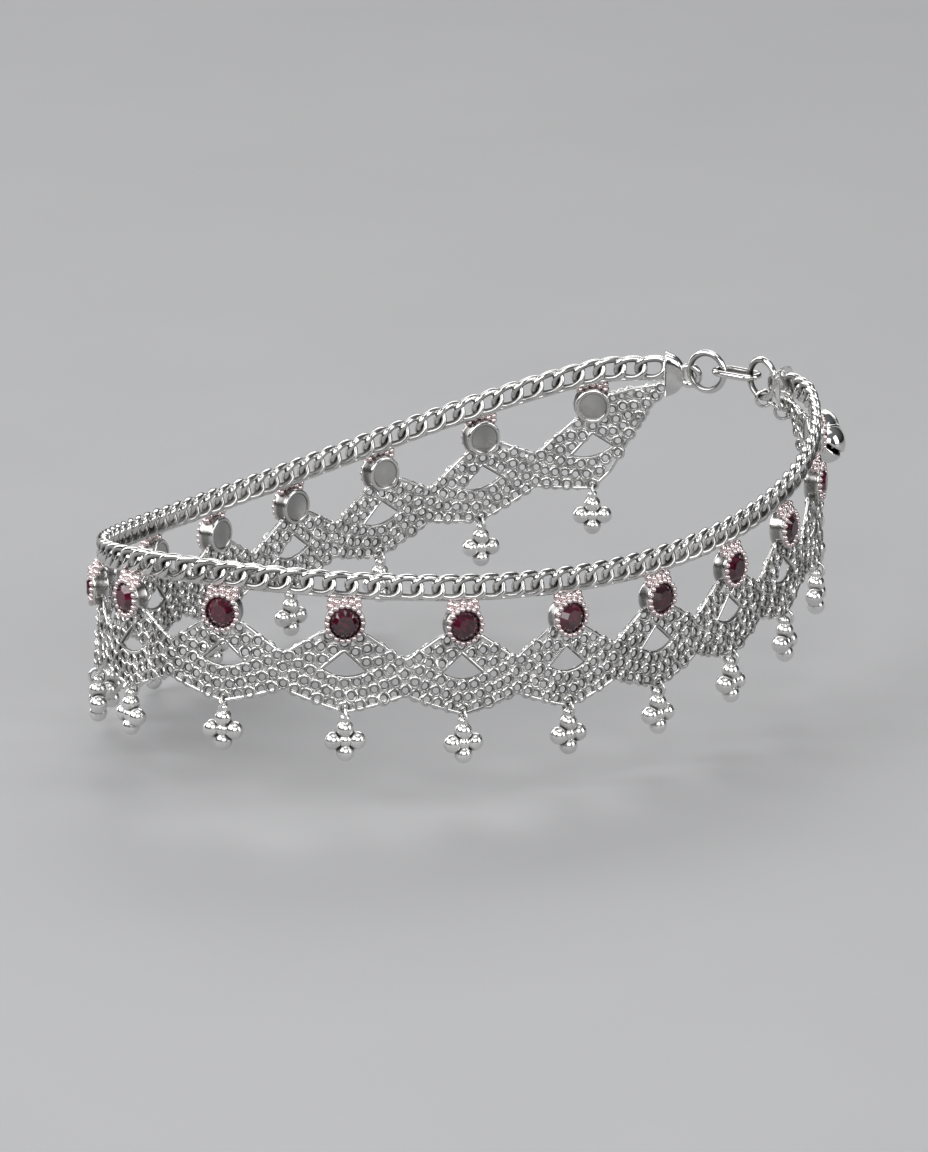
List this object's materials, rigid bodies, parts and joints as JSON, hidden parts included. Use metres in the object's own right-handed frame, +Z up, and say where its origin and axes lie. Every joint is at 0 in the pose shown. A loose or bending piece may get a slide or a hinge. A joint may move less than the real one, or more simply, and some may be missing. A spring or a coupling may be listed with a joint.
{
  "type": "filigree anklet",
  "caption": "Closed anklet: a scalloped silver net of fine rings under a curb chain, with round dark red stones, drops of small balls and two bells at the clasp.",
  "frame": {"origin": "middle of the loop at the level of the stones' line, where the ankle goes through", "axes": "+Z up along the leg, +Y towards the heel and the clasp, -Y towards the instep, +X to the side with the first ring and the bells"},
  "size_m": [0.0662, 0.1079, 0.0313],
  "materials": {
    "silver": "polished silver",
    "garnet": "polished, faceted, dark red"
  },
  "bodies": {
    "root": {"net": "silver", "top_chain": "silver", "drop_01": "silver", "drop_02": "silver", "drop_03": "silver", "drop_04": "silver", "drop_05": "silver", "drop_06": "silver", "drop_07": "silver", "drop_08": "silver", "drop_09": "silver", "drop_10": "silver", "drop_11": "silver", "drop_12": "silver", "drop_13": "silver", "drop_14": "silver", "drop_15": "silver", "drop_16": "silver", "drop_17": "silver", "drop_18": "silver", "clasp_ring_1": "silver", "clasp_ring_2": "silver", "clasp_link": "silver", "bell_link_1": "silver", "bell_link_2": "silver", "bell_link_3": "silver", "bell_link_4": "silver", "bell_link_5": "silver", "bell_1": "silver", "bell_2": "silver", "stone_01": "garnet", "stone_02": "garnet", "stone_03": "garnet", "stone_04": "garnet", "stone_05": "garnet", "stone_06": "garnet", "stone_07": "garnet", "stone_08": "garnet", "stone_09": "garnet", "stone_10": "garnet", "stone_11": "garnet", "stone_12": "garnet", "stone_13": "garnet", "stone_14": "garnet", "stone_15": "garnet", "stone_16": "garnet", "stone_17": "garnet", "stone_18": "garnet"}
  },
  "joints": []
}
